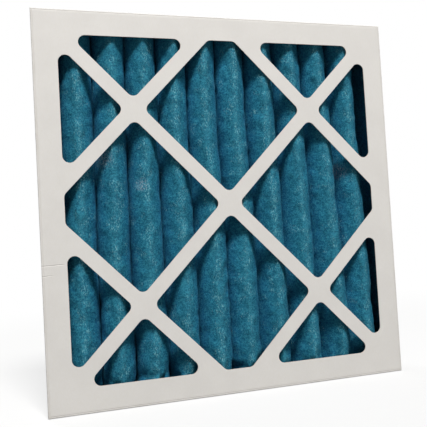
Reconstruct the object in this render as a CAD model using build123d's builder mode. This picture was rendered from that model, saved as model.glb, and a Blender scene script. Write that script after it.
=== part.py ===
from build123d import *
import os
from math import asin, atan2, cos, degrees, hypot, sin

# Pleated panel pre-filter of a fume extractor.
#
# Two die-cut card trays nest into one shallow box. Each tray is one sheet of card: a face with
# a lattice of straps, folded back along its four edges. The box holds a blanket of non-woven
# media, folded into pleats over a backing grid of welded wire. Adhesive bonds the edges of the
# pack to the box and the tips of the pleats to the straps.
#
# Millimetres. X runs along the width, Y from the front (air-entering) face to the rear face,
# Z up. The panel stands on its bottom edge, with the origin at the middle of that edge.

# Panel
panel_width = 292.0
panel_height = 300.0
panel_depth = 45.0

# Card
card = 0.7                    # thickness of the board
fold_radius = 0.9             # outer radius of a folded edge
glue_line = 0.1               # what the glue fills between two layers of card
side_border = 18.3            # border of the face at the left and right
end_border = 19.1             # border of the face at the top and bottom
strap_width = 11.1
window_corner_radius = 5.3
flap_setback = 1.0            # the outer flaps stop this far short of the rear face
tray_end_gap = 0.3            # the inner flaps stop this far from the front face's back
tab_length = 32.0             # corner tabs, glued behind the outer side flaps
tab_taper = 6.0
tab_margin = 2.0              # from a tab to the face and to the edge of its flap

# Pleats of the media
pleat_pitch = 25.7
pack_shift = -1.2             # the folds sit a little left of the middle
valley_gap = 1.5              # between neighbouring front folds, where they come nearest
valley_radius = 0.8           # bottom of the front valleys
media_at_tip = 7.0            # thickness of the loft over the wire, at a front fold
media_at_valley = 2.4         # and where it is squeezed, at the bottom of a front valley
tip_gap = 2.3                 # from the folds' tips to the back of the front card
soft_gap = 0.3                # keeps the soft blanket off the wire and the dabs
left_overreach = 1.0          # the fold at the left wall is centred this far past the wall
right_overreach = 11.3        # at the right wall the blanket is drawn out to a fold this far past

# Backing grid of square wire, with rungs that follow the pleats and upright stays
wire = 1.6
bend = 2.6                    # bend radius of the rungs, along the wire's middle
bend_chords = 3               # a rung turns round each bend in this many straight lengths
grid_gap = 0.8                # from the rungs' rear bends to the back of the rear card
rung_spacing = 68.0
stay_share = 0.7              # where a stay crosses a flank, from the front bend to the rear one
weld = 0.3                    # crossing wires sink this far into each other

# Adhesive
seal = 1.0                    # thickness of the film on the box's walls
seal_margin = 0.5             # from the film to the back of the rear card
dab = 6.0                     # side of a square dab between a strap and a pleat
dab_gap = 0.1                 # between a dab at the rear and the wire

# Levels and sizes that follow from those above
front_y = -panel_depth / 2
rear_y = panel_depth / 2
front_card_back = front_y + card
rear_card_back = rear_y - card
middle_z = panel_height / 2

inner_width = panel_width - 2 * card - 2 * (card + 2 * glue_line)
inner_height = panel_height - 2 * card - 2 * glue_line
cavity_width = inner_width - 2 * card
cavity_height = inner_height - 2 * card
pack_width = cavity_width - 2 * seal
pack_height = cavity_height - 2 * seal
pack_bottom = middle_z - pack_height / 2

tip_y = front_card_back + tip_gap
tip_radius = (pleat_pitch - valley_gap) / 2
back_offset = wire / 2 + soft_gap
wire_front_y = tip_y + media_at_tip + back_offset
wire_rear_y = rear_card_back - grid_gap - wire / 2
valley_y = wire_rear_y - back_offset - media_at_valley

crest_count = int(pack_width / pleat_pitch) - 1
inner_crests = [pack_shift + (i - (crest_count - 1) / 2) * pleat_pitch for i in range(crest_count)]
crests = [-pack_width / 2 - left_overreach, *inner_crests, pack_width / 2 + right_overreach]
inner_valleys = [(left + right) / 2 for left, right in zip(crests, crests[1:])]
valleys = [crests[0] - pleat_pitch / 2, *inner_valleys, crests[-1] + pleat_pitch / 2]

front_plane = Plane(origin=(0, front_y, 0), x_dir=(1, 0, 0), z_dir=(0, -1, 0))
rear_plane = Plane(origin=(0, rear_y, 0), x_dir=(-1, 0, 0), z_dir=(0, 1, 0))

os.makedirs("parts", exist_ok=True)


def strap_lines():
    """Centre lines of the straps, as pairs of points (x, z).

    Both diagonals run from corner to corner, and a diamond joins the middles of the edges.
    """
    right = panel_width / 2
    diagonals = [((-right, 0), (right, panel_height)), ((-right, panel_height), (right, 0))]
    diamond = [(-right, middle_z), (0, panel_height), (right, middle_z), (0, 0), (-right, middle_z)]
    return diagonals + list(zip(diamond, diamond[1:]))


def window_lattice(plane):
    """The twelve windows of a face: one wide opening with the straps left standing in it."""
    with BuildSketch(plane) as windows:
        with Locations((0, middle_z)):
            Rectangle(panel_width - 2 * side_border, panel_height - 2 * end_border)
        for (x0, z0), (x1, z1) in strap_lines():
            with Locations(((x0 + x1) / 2, (z0 + z1) / 2)):
                Rectangle(
                    hypot(x1 - x0, z1 - z0),
                    strap_width,
                    rotation=degrees(atan2(z1 - z0, x1 - x0)),
                    mode=Mode.SUBTRACT,
                )
        fillet(windows.vertices(), radius=window_corner_radius)
    return windows.sketch


def folded_tray(plane, width, height, depth):
    """One die-cut card folded into a tray. The plane is its face's, with the normal outward.

    The side flaps keep the tray's full height. The end flaps stop short of them by a glue
    line, which leaves a slit along each of the four corner edges.
    """
    outward = Axis(plane.origin, plane.z_dir)
    with BuildPart() as tray:
        with BuildSketch(plane):
            with Locations((0, middle_z)):
                Rectangle(width, height)
        extrude(amount=-depth)
        fillet(tray.faces().sort_by(outward)[-1].edges(), radius=fold_radius)
        with BuildSketch(plane.offset(-card)):
            with Locations((0, middle_z)):
                Rectangle(width - 2 * card, height - 2 * card)
        extrude(amount=-depth, mode=Mode.SUBTRACT)
        floor = tray.faces().filter_by(outward).sort_by(outward)[-2]
        fillet(floor.edges(), radius=fold_radius - card)
        extrude(window_lattice(plane), amount=-2 * card, mode=Mode.SUBTRACT)
        with BuildSketch(plane.offset(-fold_radius - card)):
            with Locations((0, middle_z)):
                with GridLocations(width - 2 * card - glue_line, height - card, 2, 2):
                    Rectangle(glue_line, card)
        extrude(amount=-depth, mode=Mode.SUBTRACT)
    return tray.part


def flank(left_bend, right_bend):
    """Ends of the straight flank between two neighbouring bends of a pleated line.

    A bend is (x, y of its centre, radius, bulge), with bulge -1 to the front and 1 to the
    rear. The flank is the inner tangent of the two circles: it leans away from the line
    between their centres by the angle whose sine is the sum of the radii over the distance.
    """
    x0, y0, r0, bulge = left_bend
    x1, y1, r1, _ = right_bend
    lean = asin((r0 + r1) / hypot(x1 - x0, y1 - y0))
    angle = atan2(y1 - y0, x1 - x0) - bulge * lean
    across = Vector(-bulge * sin(angle), bulge * cos(angle))
    return Vector(x0, y0) + across * r0, Vector(x1, y1) - across * r1


def pleat_bends(tip, tip_bend, bottom, bottom_bend):
    """All bends of a pleated line, from left to right.

    tip and bottom are the levels (y) that the line reaches at the front and at the rear.
    """
    fronts = [(x, tip + tip_bend, tip_bend, -1) for x in crests]
    rears = [(x, bottom - bottom_bend, bottom_bend, 1) for x in valleys]
    return sorted(fronts + rears)


def line_beside_wire(distance):
    """Bends of the line at a distance behind (or, where negative, before) the rungs' middle."""
    return pleat_bends(
        wire_front_y + distance, bend - distance, wire_rear_y + distance, bend + distance
    )


def draw_bend(start, around, end, chords):
    """Draws a bend into the BuildLine around the call: an arc, or as many chords as are given.

    Angles are taken at the bend's centre, from the direction of its tip towards +X.
    """
    x, y, radius, bulge = around
    if chords is None:
        ThreePointArc(start, (x, y + bulge * radius), end)
        return
    first = atan2(start.X - x, bulge * (start.Y - y))
    last = atan2(end.X - x, bulge * (end.Y - y))
    turns = [first + (last - first) * i / chords for i in range(chords + 1)]
    Polyline(*[(x + radius * sin(turn), y + bulge * radius * cos(turn)) for turn in turns])


def pleat_line(bends, chords):
    """Draws flanks and bends from the first bend to the last. Returns the line's two ends."""
    flanks = [flank(left, right) for left, right in zip(bends, bends[1:])]
    for start, end in flanks:
        Line(start, end)
    for before, around, after in zip(flanks, bends[1:], flanks[1:]):
        draw_bend(before[1], around, after[0], chords)
    return flanks[0][0], flanks[-1][1]


def pleated_band(front_bends, back_bends, level, chords=None):
    """The band between two pleated lines, trimmed to the pack's width, as a sketch at a level."""
    with BuildSketch(Plane.XY.offset(level)) as band:
        with BuildLine():
            front_ends = pleat_line(front_bends, chords)
            back_ends = pleat_line(back_bends, chords)
            for front_end, back_end in zip(front_ends, back_ends):
                Line(front_end, back_end)
        make_face()
        Rectangle(pack_width, panel_depth, mode=Mode.INTERSECT)
    return band.sketch


# Front tray: the outer one, with tabs that fold from the ends of its top and bottom flaps
tab_middle_x = panel_width / 2 - card - glue_line - card / 2
tab_front_y = front_y + card + tab_margin
tab_rear_y = rear_y - flap_setback - tab_margin
with BuildPart() as front_frame:
    add(folded_tray(front_plane, panel_width, panel_height, panel_depth - flap_setback))
    for tab_x in (-tab_middle_x, tab_middle_x):
        for root_z, end_z in (
            (panel_height - card / 2, panel_height - card - tab_length),
            (card / 2, card + tab_length),
        ):
            with BuildSketch(Plane.YZ.offset(tab_x)):
                Polygon(
                    (tab_front_y, root_z),
                    (tab_rear_y, root_z),
                    (tab_rear_y - tab_taper, end_z),
                    (tab_front_y + tab_taper, end_z),
                    align=None,
                )
            extrude(amount=card / 2, both=True)
front_frame.part.label = "front_frame"
export_step(front_frame.part, "parts/front_frame.step")

# Rear tray: nests inside the flaps of the front one
with BuildPart() as rear_frame:
    add(folded_tray(rear_plane, inner_width, inner_height, panel_depth - card - tray_end_gap))
rear_frame.part.label = "rear_frame"
export_step(rear_frame.part, "parts/rear_frame.step")

# Media: fat round folds to the front, tight ones over the wire at the rear
media_front = pleat_bends(tip_y, tip_radius, valley_y, valley_radius)
media_back = line_beside_wire(-back_offset)
with BuildPart() as filter_media:
    extrude(pleated_band(media_front, media_back, pack_bottom), amount=pack_height)
filter_media.part.label = "filter_media"
export_step(filter_media.part, "parts/filter_media.step")

# Backing grid: rungs along the pleats, and stays welded to their rear side
rung_front = line_beside_wire(-wire / 2)
rung_back = line_beside_wire(wire / 2)
rung_count = int((pack_height - rung_spacing / 2) / rung_spacing) + 1
first_rung_z = middle_z - (rung_count - 1) / 2 * rung_spacing
with BuildPart() as support_grid:
    for index in range(rung_count):
        rung_bottom = first_rung_z + index * rung_spacing - wire / 2
        extrude(pleated_band(rung_front, rung_back, rung_bottom, bend_chords), amount=wire)
    with BuildSketch(Plane.XY.offset(pack_bottom)):
        for left, right in zip(rung_back, rung_back[1:]):
            start, end = flank(left, right)
            share = stay_share if left[3] < 0 else 1 - stay_share
            along = (end - start).normalized()
            rearward = Vector(-along.Y, along.X) * (1 if along.X > 0 else -1)
            with Locations(start + (end - start) * share + rearward * (wire / 2 - weld)):
                Rectangle(wire, wire, rotation=degrees(atan2(along.Y, along.X)))
        Rectangle(pack_width, panel_depth, mode=Mode.INTERSECT)
    extrude(amount=pack_height)
support_grid.part.label = "support_grid"
export_step(support_grid.part, "parts/support_grid.step")

# Adhesive film on the four inner walls
seal_depth = rear_card_back - seal_margin - tip_y
seal_middle_y = tip_y + seal_depth / 2
side_x = (pack_width + seal) / 2
end_z = (pack_height + seal) / 2
for label, x, z, width, height in (
    ("left_seal", -side_x, middle_z, seal, pack_height),
    ("right_seal", side_x, middle_z, seal, pack_height),
    ("top_seal", 0, middle_z + end_z, cavity_width, seal),
    ("bottom_seal", 0, middle_z - end_z, cavity_width, seal),
):
    with BuildPart() as film:
        with Locations((x, seal_middle_y, z)):
            Box(width, seal_depth, height)
    film.part.label = label
    export_step(film.part, f"parts/{label}.step")


def strap_crossings(columns):
    """Points (x, z) where the straps cross upright lines at the given x, inside the border."""
    x_reach = panel_width / 2 - side_border - dab / 2
    z_reach = panel_height / 2 - end_border - dab / 2
    points = []
    for x in columns:
        for (x0, z0), (x1, z1) in strap_lines():
            z = z0 + (z1 - z0) * (x - x0) / (x1 - x0)
            on_strap = min(x0, x1) <= x <= max(x0, x1)
            if on_strap and abs(x) < x_reach and abs(z - middle_z) < z_reach:
                points.append((x, z))
    return points


# Dabs of adhesive between the straps and the tips of the pleats
dab_ends = (
    ("front_strap_adhesive", crests, front_card_back, tip_y - soft_gap),
    ("rear_strap_adhesive", valleys, wire_rear_y + wire / 2 + dab_gap, rear_card_back),
)
for label, columns, start_y, end_y in dab_ends:
    with BuildPart() as dabs:
        with Locations([(x, (start_y + end_y) / 2, z) for x, z in strap_crossings(columns)]):
            Box(dab, end_y - start_y, dab)
    dabs.part.label = label
    export_step(dabs.part, f"parts/{label}.step")
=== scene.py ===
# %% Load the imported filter
import math

import bpy
import numpy as np
from mathutils import Euler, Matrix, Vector


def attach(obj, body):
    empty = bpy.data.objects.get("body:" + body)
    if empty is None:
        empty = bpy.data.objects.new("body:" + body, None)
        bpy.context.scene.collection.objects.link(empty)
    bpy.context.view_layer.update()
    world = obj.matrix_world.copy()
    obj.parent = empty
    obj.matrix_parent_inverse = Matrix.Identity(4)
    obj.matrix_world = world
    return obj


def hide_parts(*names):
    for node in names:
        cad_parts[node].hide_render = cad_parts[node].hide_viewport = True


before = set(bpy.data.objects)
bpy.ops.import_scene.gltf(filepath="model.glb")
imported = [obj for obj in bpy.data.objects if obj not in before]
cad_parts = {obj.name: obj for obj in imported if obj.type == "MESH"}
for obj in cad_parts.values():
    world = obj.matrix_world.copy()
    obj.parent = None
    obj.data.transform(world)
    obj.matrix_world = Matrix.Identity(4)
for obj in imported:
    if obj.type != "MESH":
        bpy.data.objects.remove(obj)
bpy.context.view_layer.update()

# %% [markdown]
# ## The sizes that the looks share with the construction
#
# The filter is a flat box of card that holds a pleated blanket. Every piece made here has to
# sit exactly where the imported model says. It could be placed by eye, but it would soon cross
# its neighbours. So this cell repeats the few sizes that the construction uses, in metres, and
# works out the same levels from them.

# %% Sizes
MM = 0.001
WIDTH, HEIGHT, DEPTH = 292 * MM, 300 * MM, 45 * MM
CARD = 0.7 * MM
SIDE_BORDER, END_BORDER = 18.3 * MM, 19.1 * MM
PITCH, PACK_SHIFT, VALLEY_GAP = 25.7 * MM, -1.2 * MM, 1.5 * MM
PACK_WIDTH, PACK_HEIGHT = 285.4 * MM, 295.0 * MM
PACK_BOTTOM = HEIGHT / 2 - PACK_HEIGHT / 2
TIP_RADIUS, VALLEY_RADIUS = (PITCH - VALLEY_GAP) / 2, 0.8 * MM
WIRE, BEND = 1.6 * MM, 2.6 * MM
FRONT_FACE, REAR_FACE = -DEPTH / 2, DEPTH / 2
TIP_LEVEL = FRONT_FACE + CARD + 2.3 * MM
CREST_LEVEL = TIP_LEVEL - 0.5 * MM
WIRE_FRONT = TIP_LEVEL + 7 * MM + WIRE / 2 + 0.3 * MM
WIRE_REAR = REAR_FACE - CARD - 0.8 * MM - WIRE / 2
BACK_OFFSET = WIRE / 2 + 0.3 * MM
VALLEY_LEVEL = WIRE_REAR - BACK_OFFSET - 2.4 * MM
RUNG_SPACING, RUNG_COUNT = 68 * MM, 4
STAY_SHARE, WELD = 0.7, 0.3 * MM

inner_crests = PACK_SHIFT + (np.arange(10) - 4.5) * PITCH
CRESTS = np.concatenate([[-PACK_WIDTH / 2 - 1.0 * MM], inner_crests, [PACK_WIDTH / 2 + 11.3 * MM]])
VALLEYS = np.concatenate(
    [[CRESTS[0] - PITCH / 2], (CRESTS[1:] + CRESTS[:-1]) / 2, [CRESTS[-1] + PITCH / 2]]
)
print("folds:", len(CRESTS), "first and last crest (mm):", CRESTS[[0, -1]].round(5) / MM)

# %% [markdown]
# ## Camera
#
# The photograph was taken from the left of the panel and at about half its height. One could
# turn a camera by hand until the picture looks right. The panel's face is a plane of known
# size, though, so its four corners and five strap crossings fix the lens, the place and the
# turn of the camera exactly.

# %% Camera
camera = bpy.data.objects.new("camera", bpy.data.cameras.new("camera"))
bpy.context.scene.collection.objects.link(camera)
camera.location = (-0.13981, -0.45404, 0.12547)
camera.rotation_euler = Euler((math.radians(92.1246), math.radians(3.2465), math.radians(-16.0923)))
camera.data.sensor_width = 36
camera.data.lens = 48.05
camera.data.clip_start = 0.01
bpy.context.scene.camera = camera
print("camera stands", round(camera.location.length, 3), "m from the origin")

# %% [markdown]
# ## Maths between the sockets of a material
#
# A material is a net of nodes. Joined by hand in the editor, even a short formula needs many
# nodes and is hard to read. A small class wraps one socket and gives it the signs of plain
# arithmetic, so that a formula is written as a formula and adds its own Math nodes.

# %% Signals
class Signal:
    """One number on its way through a material. Arithmetic on it adds Math nodes."""

    def __init__(self, finish, socket):
        self.finish = finish
        self.socket = socket

    def math(self, operation, *values):
        """The result of a Math node with these values, in their order."""
        sockets = dict(enumerate(values))
        return self.finish.number("ShaderNodeMath", {"operation": operation}, sockets)

    def __add__(self, other):
        return self.math("ADD", self, other)

    def __sub__(self, other):
        return self.math("SUBTRACT", self, other)

    def __rsub__(self, other):
        return self.math("SUBTRACT", other, self)

    def __mul__(self, other):
        return self.math("MULTIPLY", self, other)

    def __pow__(self, other):
        return self.math("POWER", self, other)

    def __abs__(self):
        return self.math("ABSOLUTE", self)

    __radd__ = __add__
    __rmul__ = __mul__

    def largest(self, other):
        return self.math("MAXIMUM", self, other)

    def step(self, low, high):
        """0 below low, 1 above high, and an S-shaped curve between them."""
        settings = {"interpolation_type": "SMOOTHSTEP"}
        return self.finish.number("ShaderNodeMapRange", settings, {0: self, 1: low, 2: high})


print("made the Signal class")

# %% [markdown]
# ## One class for a material's nodes
#
# Every finish below needs the same few things: a cloud of noise, a blend of two colours, a
# bump. Blender's own calls take several lines for each, so a second class holds them. One of
# its methods makes a node of any kind, and the others use it.

# %% Finishes
class Finish:
    """A material, or the world where one is given, that is put together from nodes."""

    def __init__(self, name, owner=None):
        self.owner = owner or bpy.data.materials.new(name)
        self.owner.use_nodes = True
        self.tree = self.owner.node_tree
        self.tree.nodes.clear()
        self.place = self.node("ShaderNodeTexCoord").outputs["Object"]

    def node(self, kind, settings=None, values=None):
        """A node of any kind: its settings are set first, then its sockets' values or links."""
        made = self.tree.nodes.new(kind)
        for key, value in (settings or {}).items():
            setattr(made, key, value)
        for key, value in (values or {}).items():
            source = value.socket if isinstance(value, Signal) else value
            if isinstance(source, bpy.types.NodeSocket):
                self.tree.links.new(source, made.inputs[key])
            else:
                made.inputs[key].default_value = source
        return made

    def number(self, kind, settings=None, values=None, output=0):
        """One output of a new node, as a Signal."""
        return Signal(self, self.node(kind, settings, values).outputs[output])

    def axes(self, vector):
        """The three numbers of a vector."""
        parts = self.node("ShaderNodeSeparateXYZ", None, {0: vector})
        return [Signal(self, socket) for socket in parts.outputs]

    def stretched(self, factors):
        """Object coordinates multiplied by three factors, to draw a pattern out along an axis."""
        values = {0: self.place, 1: factors}
        return self.node("ShaderNodeVectorMath", {"operation": "MULTIPLY"}, values).outputs[0]

    def cloud(self, scale, detail=2.0, roughness=0.5, distortion=0.0, at=None):
        """Noise between 0 and 1, with about scale blobs to the metre."""
        values = {"Vector": at or self.place, "Scale": scale, "Detail": detail}
        values |= {"Roughness": roughness, "Distortion": distortion}
        return self.number("ShaderNodeTexNoise", None, values)

    def blend(self, share, first, second):
        """The first colour where share is 0, and the second where it is 1."""
        values = {0: share, 6: first, 7: second}
        return self.node("ShaderNodeMix", {"data_type": "RGBA"}, values).outputs[2]

    def bump(self, height, depth, strength=1.0, below=None):
        """Bends the light as relief of this depth in metres would."""
        values = {"Height": height, "Distance": depth, "Strength": strength}
        if below is not None:
            values["Normal"] = below
        return self.node("ShaderNodeBump", None, values).outputs[0]

    def shader(self, kind, **sockets):
        """A shader with these sockets, whose names have _ for a space."""
        values = {key.replace("_", " "): value for key, value in sockets.items()}
        return self.node(kind, None, values).outputs[0]

    def mixed(self, share, first, second):
        """The first shader where share is 0, and the second where it is 1."""
        return self.node("ShaderNodeMixShader", None, {0: share, 1: first, 2: second}).outputs[0]

    def surface(self, **sockets):
        """Ends the net in a Principled shader with these sockets, and returns the material."""
        shader = self.shader("ShaderNodeBsdfPrincipled", **sockets)
        self.node("ShaderNodeOutputMaterial", None, {0: shader})
        return self.owner


def dress(piece, material):
    """Gives a piece this material alone."""
    piece.data.materials.clear()
    piece.data.materials.append(material)


print("made the Finish class")

# %% [markdown]
# ## From arrays to a mesh
#
# A piece could be drawn vertex by vertex, or grown with operators. Here a shape is a formula
# on a grid, worked out as whole arrays, and one function hands the arrays to Blender. It also
# measures the enclosed volume: where that is negative, it turns the faces round.

# %% Mesh from arrays
def grid_faces(index):
    """Quads between neighbouring rows and columns of a two-dimensional array of vertex numbers."""
    corners = (index[:-1, :-1], index[1:, :-1], index[1:, 1:], index[:-1, 1:])
    return np.stack([c.ravel() for c in corners], axis=1)


def ring_faces(points):
    """Sides and end caps of closed tubes, from their points (tubes x rings x sides x 3)."""
    index = np.arange(points[..., 0].size).reshape(points.shape[:3])
    wrapped = np.concatenate([index, index[:, :, :1]], axis=2)
    quads = grid_faces(wrapped[0])[None] + index[:, :1, :1]
    return [quads.reshape(-1, 4), np.concatenate([index[:, 0, ::-1], index[:, -1]])]


def enclosed_volume(points, faces):
    """Sum of the signed tetrahedra between the origin and each triangle of the faces."""
    total = 0.0
    for group in faces:
        a = points[group[:, 0]]
        for second in range(1, group.shape[1] - 1):
            b, c = points[group[:, second]], points[group[:, second + 1]]
            total += np.einsum("ij,ij->", a, np.cross(b, c)) / 6
    return total


def make_piece(name, points, faces, material):
    """A smooth mesh object from an array of points and a list of arrays of faces."""
    if enclosed_volume(points, faces) < 0:
        faces = [group[:, ::-1] for group in faces]
    sides = np.concatenate([np.full(len(group), group.shape[1]) for group in faces])
    corners = np.concatenate([group.ravel() for group in faces])
    mesh = bpy.data.meshes.new(name)
    mesh.vertices.add(len(points))
    mesh.vertices.foreach_set("co", points.astype(np.float32).ravel())
    mesh.loops.add(len(corners))
    mesh.loops.foreach_set("vertex_index", corners.astype(np.int32))
    mesh.polygons.add(len(sides))
    starts = np.concatenate([[0], np.cumsum(sides)[:-1]])
    mesh.polygons.foreach_set("loop_start", starts.astype(np.int32))
    mesh.polygons.foreach_set("use_smooth", np.ones(len(sides), bool))
    mesh.update(calc_edges=True)
    piece = bpy.data.objects.new(name, mesh)
    bpy.context.scene.collection.objects.link(piece)
    dress(piece, material)
    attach(piece, "root")
    triangles = int((sides - 2).sum())
    volume = round(enclosed_volume(points, faces) * 1e6, 2)
    print(name, "has", triangles, "triangles and holds", volume, "cm3")
    return piece


print("made the mesh helpers")

# %% [markdown]
# ## Card finish
#
# The box is folded from beverage board: a smooth white face over a brown kraft core. It could
# be one flat white, but real board shows its core, has a faint cloud of fibres under the
# coating, and is pressed to a shallow groove, the score, where it folds. Its edges rub grey,
# and this panel has two faint creases in its left border. The score and the creases also get
# a painted shade, and so do faces that look up, which are greyed against the lamp above. All
# of these come from where a point is, so the pattern stays put from every side. A surface that
# looks into the box is kraft, and the windows' cut edges are a paler mix of the two.

# %% Card finish
CREASES = [(109.3 * MM, -129 * MM, 0.5 * MM), (102.0 * MM, -138 * MM, 0.4 * MM)]


def card_finish(name, outward, half_width, half_height):
    """White outside, kraft inside, paler on cut edges. outward is -1 for the front tray.

    A point is outside where it lies within a skin of the box's sides and ends, or where its
    normal looks away from the box.
    """
    finish = Finish(name)
    x, y, z = finish.axes(finish.place)
    normal = finish.node("ShaderNodeNewGeometry").outputs["Normal"]
    _, facing, upward = finish.axes(normal)
    across, up = abs(x), abs(z - HEIGHT / 2)
    skin, sharp = 0.3 * MM, 0.02 * MM
    side = (across - (half_width - skin)).step(-sharp, sharp)
    end = (up - (half_height - skin)).step(-sharp, sharp)
    face = (facing * outward).step(0.45, 0.55)
    outside = side.largest(end).largest(face)

    cloud = finish.cloud(38, 3, 0.6)
    fibre = finish.cloud(900, 3, 0.6, at=finish.stretched((1, 1, 0.45)))
    grain = finish.cloud(2600, 2, 0.6)
    rub = finish.cloud(60, 4, 0.7)

    rubbed = 3.2 * MM
    edge_x = across.step(half_width - rubbed, half_width)
    edge_z = up.step(half_height - rubbed, half_height)
    worn = edge_x.largest(edge_z) * rub.step(0.45, 0.7) * 0.35

    groove, groove_width = 1.3 * MM, 0.7 * MM
    score_x = abs(across - (half_width - groove)).step(groove_width, 0)
    score_z = abs(up - (half_height - groove)).step(groove_width, 0)
    score = score_x.largest(score_z) * face
    creases = 0.0
    for crease_z, last_x, width in CREASES:
        line = abs(z - crease_z - (x + half_width) * 0.03).step(width, 0)
        creases = line * (x * -1).step(-last_x - 2 * MM, -last_x + 4 * MM) + creases
    creases = creases * face

    white = finish.blend(cloud.step(0.3, 0.7), (0.735, 0.714, 0.688, 1), (0.765, 0.744, 0.716, 1))
    # Painted shade: the score's groove and the two creases are darkened in the colour too.
    white = finish.blend(score * 0.25 + creases * 0.22, white, (0.60, 0.575, 0.535, 1))
    white = finish.blend(fibre.step(0.35, 0.75) * 0.22, white, (0.70, 0.665, 0.60, 1))
    white = finish.blend(worn, white, (0.55, 0.52, 0.47, 1))
    # Painted shade: faces that look up are greyed, to tone down the lamp light on the top.
    painted_top_shade = upward.step(0.3, 0.9) * (0.75 + cloud * 0.5)
    white = finish.blend(painted_top_shade * 0.9, white, (0.620, 0.605, 0.580, 1))
    kraft = finish.blend(fibre.step(0.3, 0.7), (0.25, 0.170, 0.105, 1), (0.37, 0.270, 0.180, 1))
    inner_face = DEPTH / 2 - CARD
    cut = abs(y).step(inner_face + sharp, inner_face + 4 * sharp)
    kraft = finish.blend(cut, kraft, (0.54, 0.51, 0.465, 1))
    colour = finish.blend(outside, kraft, white)

    relief = finish.bump(grain * 0.5 + fibre, 0.05 * MM, 0.35)
    relief = finish.bump(1 - score * 0.8 - creases, 0.25 * MM, 0.6, below=relief)
    waves = finish.bump(finish.cloud(22, 1, 0.5), 0.35 * MM, 0.5, below=relief)
    return finish.surface(Base_Color=colour, Roughness=0.62 + rub * 0.12, Normal=waves)


front_card = card_finish("front_card", -1.0, WIDTH / 2, HEIGHT / 2)
rear_card = card_finish("rear_card", 1.0, WIDTH / 2 - CARD - 0.9 * MM, HEIGHT / 2 - CARD - 0.1 * MM)
dress(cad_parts["front_frame"], front_card)
dress(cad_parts["rear_frame"], rear_card)
print("dressed the two trays")

# %% [markdown]
# ## The pleated line
#
# Seen from above, the blanket and its backing wire both run along one pleated line: round a
# bend at the front, straight down a flank, round a bend at the rear. It could be drawn by hand
# as a wavy curve, but a wave has no straight flanks. Each flank is instead the inner tangent
# of two circles: it leans away from the line between their centres by the angle whose sine is
# the sum of the radii over the distance.

# %% Pleated line
def bends_and_flanks(tip, tip_bend, bottom, bottom_bend):
    """Bends of a pleated line (x, y of the centre, radius, bulge), and its flanks' two ends.

    bulge is -1 where a bend looks to the front and 1 where it looks to the rear. The lines run
    from the level tip at the front to the level bottom at the rear.
    """
    x = np.sort(np.concatenate([CRESTS, VALLEYS]))
    bulge = np.where(np.arange(len(x)) % 2, -1.0, 1.0)
    radius = np.where(bulge < 0, tip_bend, bottom_bend)
    y = np.where(bulge < 0, tip + tip_bend, bottom - bottom_bend)
    dx, dy = np.diff(x), np.diff(y)
    lean = np.arcsin((radius[:-1] + radius[1:]) / np.hypot(dx, dy))
    angle = np.arctan2(dy, dx) - bulge[:-1] * lean
    across = np.stack([-bulge[:-1] * np.sin(angle), bulge[:-1] * np.cos(angle)], axis=1)
    centre = np.stack([x, y], axis=1)
    start = centre[:-1] + across * radius[:-1, None]
    end = centre[1:] - across * radius[1:, None]
    return (x, y, radius, bulge), (start, end)


def pleated_line(tip, tip_bend, bottom, bottom_bend):
    """Points (x, y) of the line, and for each point its station, which counts the bends.

    Whole numbers lie in the middle of a bend, and between them it grows evenly with length.
    """
    (x, y, radius, bulge), (start, end) = bends_and_flanks(tip, tip_bend, bottom, bottom_bend)
    (start_x, start_y), (end_x, end_y) = start.T, end.T
    share = np.linspace(0, 1, 25)
    first = np.arctan2(end_x[:-1] - x[1:-1], bulge[1:-1] * (end_y[:-1] - y[1:-1]))
    last = np.arctan2(start_x[1:] - x[1:-1], bulge[1:-1] * (start_y[1:] - y[1:-1]))
    turn = first[:, None] + (last - first)[:, None] * share
    arc_x = x[1:-1, None] + radius[1:-1, None] * np.sin(turn)
    arc_y = y[1:-1, None] + (bulge * radius)[1:-1, None] * np.cos(turn)
    line = np.stack([arc_x.ravel(), arc_y.ravel()], axis=1)

    length = np.concatenate([[0], np.cumsum(np.hypot(*np.diff(line, axis=0).T))])
    middles = length.reshape(-1, len(share))[:, len(share) // 2]
    station = np.interp(length, middles, np.arange(1, len(middles) + 1), left=np.nan, right=np.nan)
    inside = ~np.isnan(station)
    return line[inside], station[inside]


def trimmed_to_pack(line, station):
    """The stations where the line first and last lies between the pack's two walls."""
    within = np.nonzero(np.abs(line[:, 0]) < PACK_WIDTH / 2)[0]
    first, last = within[0], within[-1]
    walls = []
    for outer, inner in ((first - 1, first), (last + 1, last)):
        near, past = abs(line[inner, 0]), abs(line[outer, 0])
        gap = (PACK_WIDTH / 2 - near) / (past - near)
        walls.append(station[inner] + (station[outer] - station[inner]) * gap)
    return walls


back_line = pleated_line(
    WIRE_FRONT - BACK_OFFSET, BEND + BACK_OFFSET, WIRE_REAR - BACK_OFFSET, BEND - BACK_OFFSET
)
back_walls = trimmed_to_pack(*back_line)
print("the back's line has", len(back_line[0]), "points")

# %% [markdown]
# ## Folds that press on each other
#
# The web is lofty, and its front folds are wider than the pitch leaves room for, so they press
# on each other and only dark creases show between them. Round tubes side by side would leave
# open gaps. So the round line is bent to a roof's shape here: crests and valleys stay, and the
# flanks spread until they meet.

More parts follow.
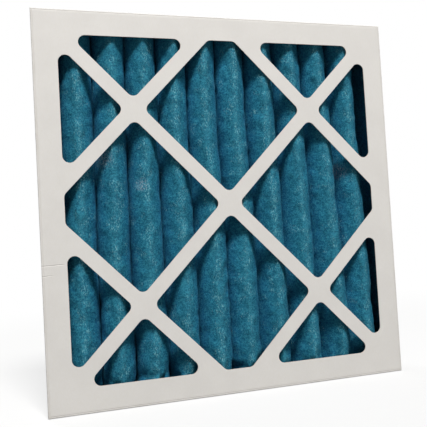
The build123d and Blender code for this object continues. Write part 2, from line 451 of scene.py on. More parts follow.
# %% Pressed folds
def pressed_folds(line, station, rounding=3 * MM, closing=7 * MM):
    """The round line with the roof's shape.

    The depth at a distance s from the crest is sqrt(s^2 + rounding^2) - rounding, and it drops
    by closing more towards the crease, as (s / wide)^8, where the fold meets its neighbour.
    """
    x, y = line.T
    fold = (np.searchsorted(VALLEYS, x) - 1).clip(0, len(CRESTS) - 1)
    crest = CRESTS[fold]
    side = np.where(x < crest, -1.0, 1.0)
    wide = np.where(side > 0, VALLEYS[fold + 1] - crest, crest - VALLEYS[fold]) - 0.05 * MM
    wide = wide.clip(0, PITCH / 2)

    def roof(s):
        return np.hypot(s, rounding) - rounding + closing * (s / wide) ** 8

    reach, full = np.abs(x - crest), VALLEY_LEVEL - CREST_LEVEL
    below = ((y - TIP_LEVEL - TIP_RADIUS) / (VALLEY_LEVEL - TIP_LEVEL - TIP_RADIUS)).clip(0, 1)
    on_roof = (reach * wide / TIP_RADIUS).clip(0, wide)
    new_reach = np.where(below > 0, wide + (reach - wide) * below, on_roof)
    new_depth = np.where(below > 0, roof(wide) + (full - roof(wide)) * below, roof(on_roof))
    return np.stack([crest + side * new_reach, CREST_LEVEL + new_depth], axis=1), station


round_line = pleated_line(TIP_LEVEL, TIP_RADIUS, VALLEY_LEVEL, VALLEY_RADIUS)
front_line = pressed_folds(*round_line)
front_walls = trimmed_to_pack(*front_line)
print("stations at the walls, front and back:", np.round(front_walls + back_walls, 2))

# %% [markdown]
# ## Smooth random fields
#
# No fold of a real blanket is like the next: its crest wanders, and it is fuller in one place
# than in another. Random numbers alone would look like gravel, so they are smoothed here by
# leaving only their long waves, which is one product in frequency space. The seed is fixed,
# so each run gives the same blanket.

# %% Random fields
def soft_field(shape, cell, grain, seed):
    """A field of mean 0 and spread 1.

    cell is the distance between its points along the two axes, and grain is the length of its
    waves along them: a wave of w cycles to the metre is kept by exp(-2 (w * grain)^2).
    """
    field = np.random.default_rng(seed).standard_normal(shape)
    waves = [np.fft.fftfreq(shape[0], cell[0])[:, None], np.fft.fftfreq(shape[1], cell[1])]
    keep = np.exp(-sum((w * g) ** 2 for w, g in zip(waves, grain)) * 2)
    field = np.real(np.fft.ifft2(np.fft.fft2(field) * keep))
    return (field - field.mean()) / field.std()


print("random fields ready, for example", soft_field((4, 4), (1, 1), (3, 3), 1)[0].round(2))

# %% [markdown]
# ## Media finish
#
# The blanket is a web of crimped polyester fibres, dyed blue-green. One could grow hair on it,
# which is slow and lost in the export. From arm's length the eye sees a soft, dull surface
# with a mottle as fine as the fibres, a slow change in the dye, and a few paler tufts where
# fibres catch the light. Layers of noise give each of these at its own size, and a bump from
# the finest ones breaks up the light.

# %% Media finish
FUZZ = [(-97 * MM, 188 * MM, 9 * MM), (-69 * MM, 167 * MM, 7 * MM), (103 * MM, 174 * MM, 9 * MM)]


def media_finish():
    """Dye that changes slowly, a web of fibres in it, and pale tufts and fuzz on top.

    Painted light and shade are in it too: a bluer shade deep in the valleys, a lighter band
    along the crests, and glints on pale fibres.
    """
    finish = Finish("media_web")
    slow = finish.cloud(32, 3, 0.55)
    lump = finish.cloud(170, 3, 0.6)
    web = finish.cloud(700, 4, 0.75, 1.0)
    streak = finish.cloud(420, 3, 0.65, 0.5, at=finish.stretched((0.4, 1.0, 1.9)))
    fibre = finish.cloud(1400, 2, 0.7, 0.8, at=finish.stretched((1.0, 1.0, 0.45)))
    ridge = finish.number("ShaderNodeAttribute", {"attribute_name": "ridge"}, None, "Fac")
    tuft = finish.cloud(110, 2, 0.5).step(0.56 - ridge * 0.2, 0.72 - ridge * 0.15)
    # Painted glints: pale fibre specks in tufts, which gather on the crests, stand for fibres
    # catching the light.
    pale_fibre_glint = fibre.step(0.55, 0.64) * tuft
    x, y, z = finish.axes(finish.place)
    deep = y.step(-19 * MM, -7 * MM)
    fuzz = 0.0
    for spot_x, spot_z, reach in FUZZ:
        away = ((x - spot_x) ** 2 + (z - spot_z) ** 2) ** 0.5
        fuzz = away.step(reach, reach * 0.3) + fuzz

    media_colour = finish.blend(slow.step(0.32, 0.68), (0.009, 0.128, 0.223, 1), (0.014, 0.157, 0.260, 1))
    media_colour = finish.blend(lump.step(0.35, 0.7) * 0.28, media_colour, (0.018, 0.190, 0.285, 1))
    # Painted shade: deeper in the valleys the colour turns a bluer navy, the tint of their shade.
    media_colour = finish.blend(deep * 0.6, media_colour, (0.012, 0.140, 0.345, 1))
    media_colour = finish.blend(web.step(0.46, 0.62) * 0.75, media_colour, (0.042, 0.296, 0.408, 1))
    media_colour = finish.blend(web.step(0.50, 0.38) * 0.65, media_colour, (0.003, 0.058, 0.122, 1))
    media_colour = finish.blend(streak.step(0.52, 0.66) * 0.35, media_colour, (0.044, 0.280, 0.365, 1))
    media_colour = finish.blend(streak.step(0.46, 0.34) * 0.45, media_colour, (0.004, 0.066, 0.130, 1))
    # Painted highlight: a lighter band along each crest, where the lamp light falls.
    media_colour = finish.blend(ridge * 0.10, media_colour, (0.12, 0.42, 0.48, 1))
    # Painted glints on pale fibres, brightest on the crests.
    media_colour = finish.blend(pale_fibre_glint * 0.75, media_colour, (0.26, 0.61, 0.68, 1))
    media_colour = finish.blend(fuzz * fibre.step(0.47, 0.62) * 0.45, media_colour, (0.52, 0.58, 0.64, 1))

    relief = finish.bump(web, 1.0 * MM, 0.6)
    relief = finish.bump(fibre, 0.35 * MM, 0.4, below=relief)
    return finish.surface(
        Base_Color=media_colour,
        Roughness=0.95,
        Specular_IOR_Level=0.08,
        Sheen_Weight=0.03,
        Sheen_Roughness=0.5,
        Sheen_Tint=(0.3, 0.65, 0.72, 1),
        Normal=relief,
    )


media_web = media_finish()
print("made", media_web.name)

# %% [markdown]
# ## The pleated blanket
#
# This is the heart of the filter: one blanket, folded into ten full pleats and two part ones
# at the walls. It could be modelled by cloth simulation, but a lofty web bonded to wire hardly
# moves, and the folding machine sets its shape. So its front is a surface of two parameters,
# the station along the pleated line and the height, and its back is a coarser one of the same
# kind.

# %% Stations and sheets
HALF_COLUMNS, HALF_ROWS = 240, 80


def denser_at_crests(first, last, columns):
    """Stations between two given ones, packed more closely at the crests, which are odd.

    With p the distance from a crest, the station goes 0.45 p + 0.55 p^3 away from it. Every
    second one is also in the coarser back, so the nearest of those moves to each valley.
    """
    plain = np.linspace(0, 2 * len(CRESTS), 6001)
    crest = 2 * np.floor(plain / 2) + 1
    warped = crest + 0.45 * (plain - crest) + 0.55 * (plain - crest) ** 3
    ends = np.interp([first, last], warped, plain)
    found = np.interp(np.linspace(*ends, columns), plain, warped)
    valleys = np.arange(2, 2 * len(CRESTS), 2)
    found[2 * np.abs(found[::2, None] - valleys).argmin(axis=0)] = valleys
    found[1::2] = (found[:-1:2] + found[2::2]) / 2
    return found


def at_stations(line, stations):
    """Points of the line at these stations."""
    points, known = line
    return np.stack([np.interp(stations, known, points[:, axis]) for axis in (0, 1)], axis=1)


def sheet_on(line, stations, rows):
    """Arrays x, y and z (columns x rows) of a sheet that stands on a line."""
    flat = at_stations(line, stations)
    height = np.linspace(PACK_BOTTOM, PACK_BOTTOM + PACK_HEIGHT, rows)
    shape = (len(stations), rows)
    return [np.broadcast_to(a, shape) for a in (flat[:, :1], flat[:, 1:], height)]


stations = denser_at_crests(*front_walls, 2 * HALF_COLUMNS + 1)
print("columns:", len(stations), "from station", stations[0].round(2), "to", stations[-1].round(2))

# %% [markdown]
# ## What moves the front
#
# The crests lean one way and another, as was read from the photograph at five heights, and
# their ends sink and crumple where they stand in the glue. Sculpted by hand, all this would be
# lost with a change of the pitch. As functions of place it can be used again at any size.

# %% Moves of the front
CLEAR = 0.5 * MM


def crest_shift(height):
    """How far each crest stands aside of its straight line, as an array folds x heights.

    The folds fan out towards the bottom. Each one also has its own lean, read at five
    heights: the shift between them is their mean, weighted by exp(-(distance / 35 mm)^2).
    """
    leans = np.zeros((len(CRESTS), 5))
    leans[1:-1] = [
        (0.0, -0.4, 0.6, 0.5, 0.2),
        (0.8, -0.6, -0.3, 0.2, 1.4),
        (1.0, 0.0, -0.5, 1.3, 0.6),
        (1.0, 1.0, -0.2, -0.7, 0.5),
        (1.0, 0.9, 1.1, -1.6, -0.3),
        (-0.2, -0.8, 1.0, -2.1, -0.8),
        (0.0, 0.2, 1.1, -1.5, -0.3),
        (1.5, 0.2, 0.1, 0.5, 0.0),
        (2.8, 2.0, -0.4, 0.5, -0.4),
        (0.2, 0.6, 0.0, 0.0, 0.5),
    ]
    read_at = np.array([30, 90, 150, 210, 270]) * MM
    weight = np.exp(-(((height[:, None] - read_at) / (35 * MM)) ** 2))
    lean = leans @ (weight / weight.sum(axis=1, keepdims=True)).T * MM
    return lean + 0.9 * MM + (HEIGHT / 2 - height) * (0.0069 + 0.204 * CRESTS[:, None])


def away_from_walls(x):
    """0 at the side walls, growing evenly to 1 at 12 mm from them."""
    return ((PACK_WIDTH / 2 - np.abs(x)) / (12 * MM)).clip(0, 1)


def near_ends(z, fold):
    """How far a point shares in the sinking towards the ends, and in the crumpled foot.

    Both fall off as exp(-(distance / reach)^2), and each fold sinks by a share of its own.
    """
    above, below = z - z[0, 0], z - z[0, -1]
    sinking = np.exp(-((above / (16 * MM)) ** 2)) + 0.3 * np.exp(-((below / (12 * MM)) ** 2))
    share = np.random.default_rng(16).uniform(0.3, 1.0, len(CRESTS))[fold][:, None]
    return share * sinking, np.exp(-(((above - 6 * MM) / (13 * MM)) ** 2))


def clear_of_back(x, crest_x, new_x, new_y):
    """Moves flanks aside and crests forward to at least CLEAR from the back.

    One flank of the back gives its half width at a depth, and its depth at a distance. Where
    it ends there is no limit, so a metre stands there.
    """
    half_x, half_y = at_stations(back_line, np.linspace(3, 4, 60)).T
    half_x = half_x - CRESTS[1]
    far = 1.0
    inner = np.interp(new_y, half_y, half_x, left=-far) + CLEAR
    on_left, on_right = np.minimum(new_x, crest_x - inner), np.maximum(new_x, crest_x + inner)
    new_x = np.where(x < crest_x, on_left, on_right)
    deepest = np.interp(np.abs(new_x - crest_x), half_x, half_y, right=far) - CLEAR
    return new_x, np.minimum(new_y, deepest)


at_foot = np.abs(crest_shift(np.array([PACK_BOTTOM]))[1:-1]).max() / MM
print("at the foot, the crests stand aside by up to", at_foot.round(1), "mm")

# %% [markdown]
# ## The front of the blanket
#
# A point of the front gets its hold first, which says how freely it may move: fully at a
# crest, not at all in a valley or at a wall. Everything else is multiplied by it, so the
# valleys stay on the wire however much the crests lean. Neighbouring folds share the crease
# between them, and the front keeps a little distance from the back.

# %% Front of the blanket
def media_front(stations):
    """Front of the blanket (columns x rows x 3), and how near each point is to its crest.

    hold is 3 r^2 - 2 r^3, with r the point's rise from the valley to the crest. A point goes
    aside by its crest's shift and its lumps, and forward by its fold's level and its lumps.
    """
    rows = 2 * HALF_ROWS + 1
    x, y, z = sheet_on(front_line, stations, rows)
    fold = np.clip((stations // 2).astype(int), 0, len(CRESTS) - 1)
    crest_x = CRESTS[fold][:, None]
    rise = ((VALLEY_LEVEL - y) / (VALLEY_LEVEL - CREST_LEVEL)).clip(0, 1)
    hold = (rise * rise * (3 - 2 * rise)) * away_from_walls(x)

    step_z = PACK_HEIGHT / (rows - 1)
    per_fold = (len(CRESTS), rows)
    wander = soft_field(per_fold, (1, step_z), (0.6, 30 * MM), 11)
    full = soft_field(per_fold, (1, step_z), (0.5, 42 * MM), 12)[fold]
    level = soft_field(per_fold, (1, step_z), (0.8, 70 * MM), 13)[fold]
    shape, cell = (len(stations), rows), (2.0 * MM, step_z)
    lump = soft_field(shape, cell, (13 * MM, 11 * MM), 14)
    fluff = soft_field(shape, cell, (4.2 * MM, 4.2 * MM), 15)

    shift = crest_shift(z[0]) + 0.15 * MM * wander
    new_x = crest_x + (x - crest_x) * (1 + 0.02 * full * hold) + shift[fold] * hold
    outward = ((x - crest_x) / (4 * MM)).clip(-1, 1)
    new_x = new_x + outward * (0.16 * lump + 0.12 * fluff) * MM * hold
    new_y = y - (0.35 * level + 0.25 * lump + 0.14 * fluff).clip(-2, 2.0) * MM * hold

    sinking, at_foot = near_ends(z, fold)
    crumple = soft_field(shape, cell, (9 * MM, 7 * MM), 18).clip(-1.5, 1.2)
    aside = soft_field(shape, cell, (16 * MM, 8 * MM), 19)
    new_y = new_y + 3 * MM * sinking * hold
    new_y = new_y + 1.5 * MM * (crumple + 0.3) * at_foot * hold
    new_x = new_x + 1.2 * MM * aside * at_foot * hold
    narrowing = 0.15 * sinking + 0.12 * at_foot
    new_x = new_x - (new_x - crest_x - shift[fold] * hold) * narrowing * hold

    padded = np.concatenate([shift[:1], shift, shift[-1:]])
    between = (padded[1:] + padded[:-1]) / 2
    between = between + 0.45 * MM * soft_field(between.shape, (1, step_z), (0.3, 7 * MM), 17)
    gap = 0.04 * MM
    left = VALLEYS[fold][:, None] + between[fold] * hold + gap
    right = VALLEYS[fold + 1][:, None] + between[fold + 1] * hold - gap
    new_x, new_y = clear_of_back(x, crest_x, new_x, new_y)
    ridge = np.exp(-(((x - crest_x) / (4 * MM)) ** 2)) * (rise > 0.5)
    new_y = new_y.clip(FRONT_FACE + CARD + 0.2 * MM, None)
    return np.stack([new_x.clip(left, right), new_y, z], axis=2), ridge


front_points, ridge = media_front(stations)
thickest = (front_points[..., 1].max() - front_points[..., 1].min()) / MM
print("the front reaches", thickest.round(1), "mm from its crests to its valleys")

# %% [markdown]
# ## The back, the rims and the whole blanket
#
# The back lies on the wire, so it hardly strays from its line, and half as many columns and
# rows are enough. The two sheets could be joined with a modifier, but their edges don't match.
# Three triangles to each coarse edge close the rim without a gap.

# %% Pleated blanket
def media_back(stations):
    """Back of the blanket on the coarser grid: its line, with lumps of at most half a mm.

    Its stations are the front's, but faster or slower near a wall, which the two lines meet at
    different stations.
    """
    rows = HALF_ROWS + 1
    knots = [front_walls[0], front_walls[0] + 0.5, back_walls[1] - 1.2, front_walls[1]]
    targets = [back_walls[0], front_walls[0] + 0.5, back_walls[1] - 1.2, back_walls[1]]
    x, y, z = sheet_on(back_line, np.interp(stations[::2], knots, targets), rows)
    lump = soft_field(x.shape, (4 * MM, PACK_HEIGHT / (rows - 1)), (9 * MM, 9 * MM), 21)
    lift = 0.12 * MM * (lump + 1.6).clip(0, 4) * away_from_walls(x)
    return np.stack([x, y - lift, z], axis=2)


def rim_faces(fine, coarse):
    """Three triangles to each coarse edge, between an edge of the front and one of the back."""
    a, b, c = fine[:-2:2], fine[1:-1:2], fine[2::2]
    d, e = coarse[:-1], coarse[1:]
    return np.concatenate([np.stack(t, axis=1) for t in ((a, b, d), (b, e, d), (b, c, e))])


back_points = media_back(stations)
front_index = np.arange(front_points[..., 0].size).reshape(front_points.shape[:2])
back_index = np.arange(back_points[..., 0].size).reshape(back_points.shape[:2]) + front_index.size
rims = [
    rim_faces(front_index[:, 0], back_index[:, 0]),
    rim_faces(front_index[::-1, -1], back_index[::-1, -1]),
    rim_faces(front_index[0, ::-1], back_index[0, ::-1]),
    rim_faces(front_index[-1], back_index[-1]),
]
media_points = np.concatenate([front_points.reshape(-1, 3), back_points.reshape(-1, 3)])
media_faces = [grid_faces(front_index)[:, ::-1], grid_faces(back_index), *rims]
media = make_piece("media_blanket", media_points, media_faces, media_web)
near_crest = np.concatenate([ridge.ravel(), np.zeros(back_points[..., 0].size)])
media.data.attributes.new("ridge", "FLOAT", "POINT").data.foreach_set("value", near_crest)
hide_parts("filter_media")

# %% [markdown]
# ## Loose fibres
#
# A needled web always has some fibres that stand off it, most of all along the crests. Hair
# particles would draw them, but the exported model would lose them. So each fibre is a thin
# three-sided tube. Its path is an arc in the blanket's own columns and rows, so it follows the
# surface wherever that bends, and a lift along the normal lets its middle stand free.

# %% Loose fibres
FIBRE_POINTS, FIBRE_SIDES = 7, 3


def fibre_finish():
    """Dyed fibres among paler ones, changing every few millimetres."""
    finish = Finish("loose_fibre")
    shade = finish.cloud(240, 2, 0.6)
    dyed, pale = (0.040, 0.270, 0.370, 1), (0.420, 0.740, 0.790, 1)
    colour = finish.blend(shade.step(0.40, 0.62), dyed, pale)
    return finish.surface(Base_Color=colour, Roughness=0.6 + shade * 0.2, Specular_IOR_Level=0.3)


def between_points(grid, column, row):
    """Values of a grid (columns x rows x 3) at broken column and row numbers."""
    column = column.clip(0, grid.shape[0] - 1.001)
    row = row.clip(0, grid.shape[1] - 1.001)
    i, j = column.astype(int), row.astype(int)
    s, t = (column - i)[..., None], (row - j)[..., None]
    near = grid[i, j] * (1 - s) + grid[i + 1, j] * s
    far = grid[i, j + 1] * (1 - s) + grid[i + 1, j + 1] * s
    return near * (1 - t) + far * t


def loose_fibres(count, in_fuzz, seed):
    """Tubes on the front of the blanket: count along its crests, and in_fuzz in each patch.

    A fibre's heading turns evenly along its length t, from -1/2 to 1/2. Its lift off the
    surface goes as 1 - 4 t^2 and its radius as 1 - 3.2 t^2, so both are least at its ends.
    """
    random = np.random.default_rng(seed)
    columns = np.arange(len(stations))
    crest = 2 * random.integers(0, len(CRESTS), count) + 1 + random.normal(0, 0.13, count)
    column = [np.interp(crest, stations, columns)]
    row = [random.uniform(4, 2 * HALF_ROWS - 4, count)]
    for spot_x, spot_z, reach in FUZZ:
        fibre_x = spot_x + random.normal(0, reach / 2, in_fuzz)
        column.append(np.interp(fibre_x, front_points[:, HALF_ROWS, 0], columns))
        fibre_z = spot_z + random.normal(0, reach / 2, in_fuzz)
        row.append((fibre_z - PACK_BOTTOM) / PACK_HEIGHT * 2 * HALF_ROWS)
    column, row = np.concatenate(column)[:, None], np.concatenate(row)[:, None]
    total = len(column)

    t = np.linspace(-0.5, 0.5, FIBRE_POINTS)[None, :]
    length = random.uniform(2.0, 6.5, (total, 1)) * MM
    heading = random.uniform(0, np.pi, (total, 1)) + random.normal(0, 1.6, (total, 1)) * t
    step_column = length * np.cumsum(np.cos(heading), axis=1) / FIBRE_POINTS
    step_row = length * np.cumsum(np.sin(heading), axis=1) / FIBRE_POINTS
    along_column, along_row = np.gradient(front_points, axis=(0, 1))
    pace = np.linalg.norm(between_points(along_column, column, row), axis=2)
    column = column + step_column / pace.clip(0.4 * MM, None)
    row = row + step_row / (PACK_HEIGHT / (2 * HALF_ROWS))

    normal = between_points(np.cross(along_row, along_column), column, row)
    normal /= np.linalg.norm(normal, axis=2, keepdims=True)
    lift = random.uniform(0.15, 0.8, (total, 1)) * MM * (1 - 4 * t * t) - 0.06 * MM
    path = between_points(front_points, column, row) + normal * lift[..., None]
    path[..., 1] = path[..., 1].clip(FRONT_FACE + CARD + 0.1 * MM, None)

    tangent = np.gradient(path, axis=1)
    side = np.cross(tangent, normal)
    side /= np.linalg.norm(side, axis=2, keepdims=True).clip(1e-9, None)
    radius = random.uniform(0.05, 0.095, (total, 1)) * MM * (1 - 3.2 * t * t)
    angle = (np.arange(FIBRE_SIDES) * 2 * np.pi / FIBRE_SIDES)[:, None]
    around = normal[:, :, None] * np.cos(angle) + side[:, :, None] * np.sin(angle)
    points = path[:, :, None] + around * radius[..., None, None]

    make_piece("loose_fibres", points.reshape(-1, 3), ring_faces(points), fibre_finish())


loose_fibres(2600, 60, 41)

# %% [markdown]
# ## Wire finish
#
# The backing grid is zinc-coated steel wire. Plain grey metal would look like a mirror in a
# studio. Zinc is duller: its coat is slightly uneven, with darker and lighter drops.

# %% Wire finish
def wire_finish():
    """Grey metal whose shade, roughness and relief all follow one fine cloud."""
    finish = Finish("zinc_wire")
    drop = finish.cloud(500, 3, 0.6)
    colour = finish.blend(drop.step(0.3, 0.7), (0.42, 0.43, 0.44, 1), (0.60, 0.61, 0.62, 1))
    relief = finish.bump(drop, 0.08 * MM, 0.4)
    return finish.surface(
        Base_Color=colour, Metallic=1.0, Roughness=0.34 + drop * 0.2, Normal=relief
    )


zinc_wire = wire_finish()
print("made", zinc_wire.name)

# %% [markdown]
# ## A tube along a path
#
# A wire is a circle carried along a path. A curve object with a bevel would do it too, but an
# array keeps the ends domed and the piece one mesh. The circle needs two directions across the
# path: for a path in a level plane those are the path's own normal and the upright axis.

# %% Tube
def tube(path, normal, binormal, radius, sides=10):
    """Points (rings x sides x 3) of a round tube with domed ends along a path.

    A ring's point is the path's point plus the radius times the cosine of its angle along the
    normal and the sine along the binormal. At each end the radius falls as a quarter circle.
    """
    angle = np.arange(sides) * 2 * np.pi / sides
    dome = np.array([1.0, 0.87, 0.5, 0.02])
    size = np.concatenate([dome[::-1], np.ones(len(path) - 2), dome])
    along = [v / np.linalg.norm(v) for v in (path[1] - path[0], path[-1] - path[-2])]
    out = np.array([0.0, 0.5, 0.87, 1.0]) * radius
    head = path[0] - along[0] * (out[::-1, None] - radius)
    tail = path[-1] + along[1] * (out[:, None] - radius)
    middle = np.concatenate([head, path[1:-1], tail])
    pick = np.clip(np.arange(len(middle)) - 3, 0, len(path) - 1)
    across, up = normal[pick][:, None], binormal[pick][:, None]
    ring = np.cos(angle)[None, :, None] * across + np.sin(angle)[None, :, None] * up
    return middle[:, None] + ring * (radius * size)[:, None, None]


print("made the tube helper")

# %% [markdown]
# ## Backing grid
#
# Welded wire holds the pleats open. A square section would be simpler, but the real wire is
# round. So a tube follows the pleated line for each rung, and another goes up each flank as a
# stay, welded to the rungs.

# %% Backing grid
RUNG_POINTS, STAY_POINTS = 521, 8

wire_line = pleated_line(WIRE_FRONT, BEND, WIRE_REAR, BEND)
wire_walls = trimmed_to_pack(*wire_line)
rung_flat = at_stations(wire_line, np.linspace(*wire_walls, RUNG_POINTS))
rung_flat[:, 0] = rung_flat[:, 0].clip(-PACK_WIDTH / 2 + 0.1 * MM, PACK_WIDTH / 2 - 0.1 * MM)
tangent = np.gradient(rung_flat, axis=0)
tangent /= np.linalg.norm(tangent, axis=1, keepdims=True)
level_normal = np.stack([-tangent[:, 1], tangent[:, 0], np.zeros(len(tangent))], axis=1)
upright = np.tile([0.0, 0.0, 1.0], (len(tangent), 1))
rung_heights = HEIGHT / 2 + (np.arange(RUNG_COUNT) - (RUNG_COUNT - 1) / 2) * RUNG_SPACING

_, (flank_start, flank_end) = bends_and_flanks(
    WIRE_FRONT + WIRE / 2, BEND - WIRE / 2, WIRE_REAR + WIRE / 2, BEND + WIRE / 2
)
along = flank_end - flank_start
share = np.where(np.arange(len(along)) % 2, STAY_SHARE, 1 - STAY_SHARE)[:, None]
unit = along / np.linalg.norm(along, axis=1, keepdims=True)
rearward = np.stack([-unit[:, 1], unit[:, 0]], axis=1) * np.sign(unit[:, :1])
feet = flank_start + along * share + rearward * (WIRE / 2 - WELD)
feet = feet[np.abs(feet[:, 0]) < PACK_WIDTH / 2 - WIRE / 2]
stay_heights = np.linspace(PACK_BOTTOM, PACK_BOTTOM + PACK_HEIGHT, STAY_POINTS)
sideways = np.tile([1.0, 0.0, 0.0], (STAY_POINTS, 1))
rearwards = np.tile([0.0, 1.0, 0.0], (STAY_POINTS, 1))

rungs, stays = [], []
for rung_height in rung_heights:
    path = np.column_stack([rung_flat, np.full(len(rung_flat), rung_height)])
    rungs.append(tube(path, level_normal, upright, WIRE / 2))
for foot in feet:
    path = np.column_stack([np.tile(foot, (STAY_POINTS, 1)), stay_heights])
    stays.append(tube(path, sideways, rearwards, WIRE / 2))

rungs, stays = np.array(rungs), np.array(stays)
wire_points = np.concatenate([rungs.reshape(-1, 3), stays.reshape(-1, 3)])
wire_faces = ring_faces(rungs) + [group + rungs[..., 0].size for group in ring_faces(stays)]
grid = make_piece("backing_grid", wire_points, wire_faces, zinc_wire)
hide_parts("support_grid")
print("rungs:", len(rungs), "stays:", len(stays))

# %% [markdown]
# ## Adhesive
#
# Dried glue bonds the pack to the box. It is cream, slightly shiny and uneven.

# %% Adhesive
def glue_finish():
    """Cream, with a shade, a gloss and a relief that change together."""
    finish = Finish("dried_glue")
    cloud = finish.cloud(300, 3, 0.6)
    colour = finish.blend(cloud.step(0.3, 0.7), (0.62, 0.55, 0.42, 1), (0.74, 0.68, 0.55, 1))
    relief = finish.bump(cloud, 0.3 * MM, 0.5)
    return finish.surface(Base_Color=colour, Roughness=0.38 + cloud * 0.15, Normal=relief)


dried_glue = glue_finish()
for node in ("left_seal", "right_seal", "top_seal", "bottom_seal"):
    dress(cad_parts[node], dried_glue)
print("dressed the seals")

# %% [markdown]
# ## Dollops between the pleats and the straps
#
# Where a strap crosses a pleat, a dollop of the same glue holds the two together. Square dabs
# would be quick to build, but a squeezed drop has a round and uneven rim. So all the drops are
# one array: rings of a squashed ball, whose radius ripples a little, at every crossing.

# %% Dollops
LAST_RING = 1.4


def strap_crossings(columns):
    """Fold number, x, z and the strap's climb, where its centre line crosses each column's x.

    z goes evenly with x from one end of the strap to the other.
    """
    r, h = WIDTH / 2, HEIGHT
    diagonals = [(-r, 0, r, h), (-r, h, r, 0)]
    diamond = [(-r, h / 2, 0, h), (0, h, r, h / 2), (r, h / 2, 0, 0), (0, 0, -r, h / 2)]
    ends = diagonals + diamond
    x0, z0, x1, z1 = np.array(ends).T[:, None]
    x = np.broadcast_to(columns[:, None], (len(columns), len(ends)))
    z = z0 + (z1 - z0) * (x - x0) / (x1 - x0)
    on_strap = (x >= np.minimum(x0, x1)) & (x <= np.maximum(x0, x1))
    inset = 3 * MM
    between_sides = np.abs(x) < r - SIDE_BORDER - inset
    between_ends = np.abs(z - h / 2) < h / 2 - END_BORDER - inset
    fold = np.broadcast_to(np.arange(len(columns))[:, None], x.shape)
    climb = (z1 - z0) / (x1 - x0) * np.ones_like(x)
    keep = on_strap & between_sides & between_ends
    return fold[keep], x[keep], z[keep], climb[keep]


def dollops(name, x, z, front, rear, seed):
    """Squashed balls: the ring at the angle u has the radius half * sqrt(cos u), rippled.

    Its level goes from front to rear with the sine of u.
    """
    random = np.random.default_rng(seed)
    sides = 18
    u = np.linspace(-LAST_RING, LAST_RING, 8)
    v = np.arange(sides) * 2 * np.pi / sides
    phase = random.uniform(0, 2 * np.pi, (2, len(x), 1))
    ripple = 1 + 0.09 * np.cos(2 * v + phase[0]) + 0.05 * np.cos(3 * v + phase[1])
    half = random.uniform(2.5, 3.3, (len(x), 1)) * MM
    radius = (half * ripple)[:, None, :] * np.sqrt(np.cos(u))[None, :, None]
    level = (front + rear) / 2 + (rear - front) / 2 * np.sin(u)[None, :, None] / np.sin(LAST_RING)
    x, z = x[:, None, None] + radius * np.cos(v), z[:, None, None] + radius * np.sin(v)
    points = np.stack([x, level + 0 * radius, z], axis=3)
    return make_piece(name, points.reshape(-1, 3), ring_faces(points), dried_glue)


fold, x, z, climb = strap_crossings(CRESTS)
aside = crest_shift(z)[fold, np.arange(len(z))]
sunk = 0.05 * MM
strap_back, in_crest = FRONT_FACE + CARD - sunk, CREST_LEVEL + 1.0 * MM
front_dollops = dollops("front_dollops", x + aside, z + aside * climb, strap_back, in_crest, 31)
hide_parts("front_strap_adhesive")
_, x, z, _ = strap_crossings(VALLEYS)
in_wire, rear_strap = WIRE_REAR + WIRE / 2 - 0.3 * MM, REAR_FACE - CARD + sunk
rear_dollops = dollops("rear_dollops", x, z, in_wire, rear_strap, 32)
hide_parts("rear_strap_adhesive")

# %% [markdown]
# ## Floor
#
# The photograph shows the panel alone on white. A white floor would light it from below and
# fill the deep shadows between the folds. So the floor is a mid grey cloth to all light, and
# only the camera and reflections see it glow: dimly near the panel and white further away.

# %% Floor
WHITE, MID_GREY = (1, 1, 1, 1), (0.25, 0.25, 0.25, 1)


def seen_directly(finish):
    """1 where the camera, a reflection or glass looks at a surface, and 0 for other light."""
    ray = finish.node("ShaderNodeLightPath").outputs
    camera_ray, glossy_ray, glass_ray = [
        Signal(finish, ray[f"Is {kind} Ray"]) for kind in ("Camera", "Glossy", "Transmission")
    ]
    return camera_ray.largest(glossy_ray).largest(glass_ray)


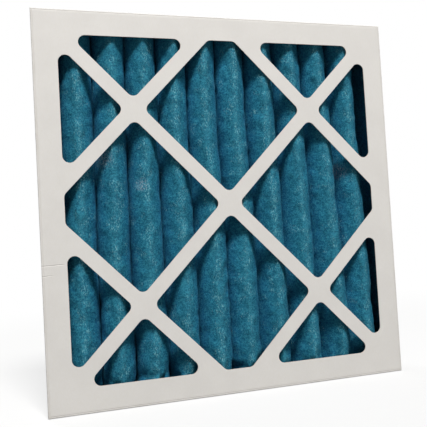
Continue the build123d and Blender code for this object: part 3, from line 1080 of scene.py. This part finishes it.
def floor_finish():
    """Cloth that also glows where it is seen, and turns white at 0.25 to 0.75 m from the origin."""
    finish = Finish("pale_floor")
    x, y, _ = finish.axes(finish.place)
    far = ((x * x + y * y) ** 0.5).step(0.25, 0.75)
    cloth = finish.shader("ShaderNodeBsdfDiffuse", Color=MID_GREY)
    glow = finish.shader("ShaderNodeEmission", Color=WHITE, Strength=0.64)
    white = finish.shader("ShaderNodeEmission", Color=WHITE, Strength=1.0)
    near = finish.node("ShaderNodeAddShader", None, {0: cloth, 1: glow}).outputs[0]
    seen = finish.mixed(far, near, white)
    shown = finish.mixed(seen_directly(finish), cloth, seen)
    finish.node("ShaderNodeOutputMaterial", None, {0: shown})
    return finish.owner


reach, drop = 3.0, 0.2 * MM
square = ((-reach, -reach), (reach, -reach), (reach, reach), (-reach, reach))
floor_mesh = bpy.data.meshes.new("floor")
floor_mesh.from_pydata([(x, y, -drop) for x, y in square], [], [(0, 1, 2, 3)])
floor = bpy.data.objects.new("floor", floor_mesh)
bpy.context.scene.collection.objects.link(floor)
dress(floor, floor_finish())
print("laid a floor of", 2 * reach, "m")

# %% [markdown]
# ## World
#
# The background has the same task: white to the camera, so that white stays white without
# more light on the card, and a dim cool sky to everything else.

# %% World
def studio_world():
    """A white background where it is seen, and a dim sky for all other light."""
    finish = Finish("studio", bpy.data.worlds.new("studio"))
    sky = finish.shader("ShaderNodeBackground", Color=(0.92, 0.96, 1.0, 1), Strength=0.09)
    white = finish.shader("ShaderNodeBackground", Color=WHITE, Strength=1.0)
    shown = finish.mixed(seen_directly(finish), sky, white)
    finish.node("ShaderNodeOutputWorld", None, {0: shown})
    return finish.owner


bpy.context.scene.world = studio_world()
print("made the world", bpy.context.scene.world.name)

# %% [markdown]
# ## Lamps
#
# The straps' shadows lie below them on the folds, and the flanks on the right are darker, so
# one soft lamp stands high up in front of the panel. A second, dimmer one stands behind it,
# for the views from there.

# %% Lamps
def lamp(name, place, aim, size, watts, colour=(1, 1, 1)):
    """A square area lamp at a place, turned towards the point that it aims at."""
    light = bpy.data.lights.new(name, "AREA")
    light.size = size
    light.energy = watts
    light.color = colour
    made = bpy.data.objects.new(name, light)
    bpy.context.scene.collection.objects.link(made)
    made.location = place
    made.rotation_euler = (Vector(aim) - Vector(place)).to_track_quat("-Z", "Y").to_euler()


lamp("back", (-1.3, 3.4, 2.0), (0, 0, 0.15), 1.8, 75, (0.97, 0.985, 1.0))
lamp("key", (0.0, -1.9, 3.4), (0, 0, 0.15), 1.0, 194, (1.0, 0.99, 0.97))
bpy.context.scene.view_settings.view_transform = "Standard"
print("lit the scene")
